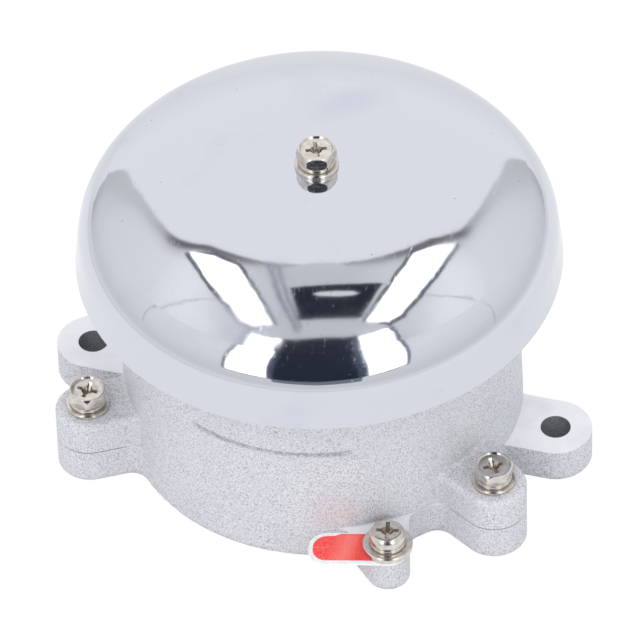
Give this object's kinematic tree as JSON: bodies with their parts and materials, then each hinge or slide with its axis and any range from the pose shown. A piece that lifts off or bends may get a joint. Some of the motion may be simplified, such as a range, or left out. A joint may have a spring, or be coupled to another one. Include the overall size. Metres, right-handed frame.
{
  "type": "electric alarm bell",
  "caption": "Round surface-mounted electric bell: chrome gong over a cast housing with mounting lugs, earth terminal and an internal spring-returned solenoid striker.",
  "frame": {"origin": "centre of the flat back face, on the gong's axis", "axes": "+Z out of the wall along the gong's axis, mounting lugs on +X and -X, the striker moves along -Y, the cable entry faces +Y"},
  "size_m": [0.1152, 0.1068, 0.0766],
  "materials": {
    "painted_casting": "silver hammertone paint",
    "chrome_plate": "polished chrome plate",
    "nickel_screw": "nickel plated",
    "zinc_steel": "zinc plated",
    "red_tag": "red film with a pale border",
    "nylon": "moulded nylon",
    "copper_winding": "enamelled copper wire",
    "soft_iron": "soft iron",
    "spring_steel": "spring steel",
    "black_rubber": "moulded rubber",
    "brass": "turned brass",
    "wire_sleeve": "insulated wire"
  },
  "bodies": {
    "bell_body": {"base_plate": "painted_casting", "housing": "painted_casting", "gong": "chrome_plate", "gong_post": "zinc_steel", "gong_washer": "nickel_screw", "gong_lock_washer": "nickel_screw", "gong_screw": "nickel_screw", "cover_washers": "nickel_screw", "cover_lock_washers": "nickel_screw", "cover_screws": "nickel_screw", "earth_tag": "red_tag", "earth_washer": "nickel_screw", "earth_lock_washer": "nickel_screw", "earth_screw": "nickel_screw", "solenoid_yoke": "zinc_steel", "yoke_keeper": "zinc_steel", "bobbin": "nylon", "coil_winding": "copper_winding", "return_spring": "spring_steel", "guide_bush": "nylon", "rear_buffer": "black_rubber", "yoke_lock_washers": "nickel_screw", "yoke_screws": "nickel_screw", "cable_grommet": "black_rubber", "terminal_block": "nylon", "terminal_inserts": "brass", "terminal_clamp_screws": "nickel_screw", "terminal_block_screws": "nickel_screw", "coil_leads": "wire_sleeve"},
    "striker": {"plunger": "soft_iron", "striker_rod": "zinc_steel", "striker_tip": "nylon", "spring_collar": "zinc_steel"}
  },
  "joints": [
    {"name": "striker_slide", "type": "slide", "parent": "bell_body", "child": "striker", "axis": [0, -1, 0], "range_m": [0, 0.0023], "stiffness_N_per_m": 400, "springref_m": -0.002, "deforming": ["return_spring"]}
  ]
}
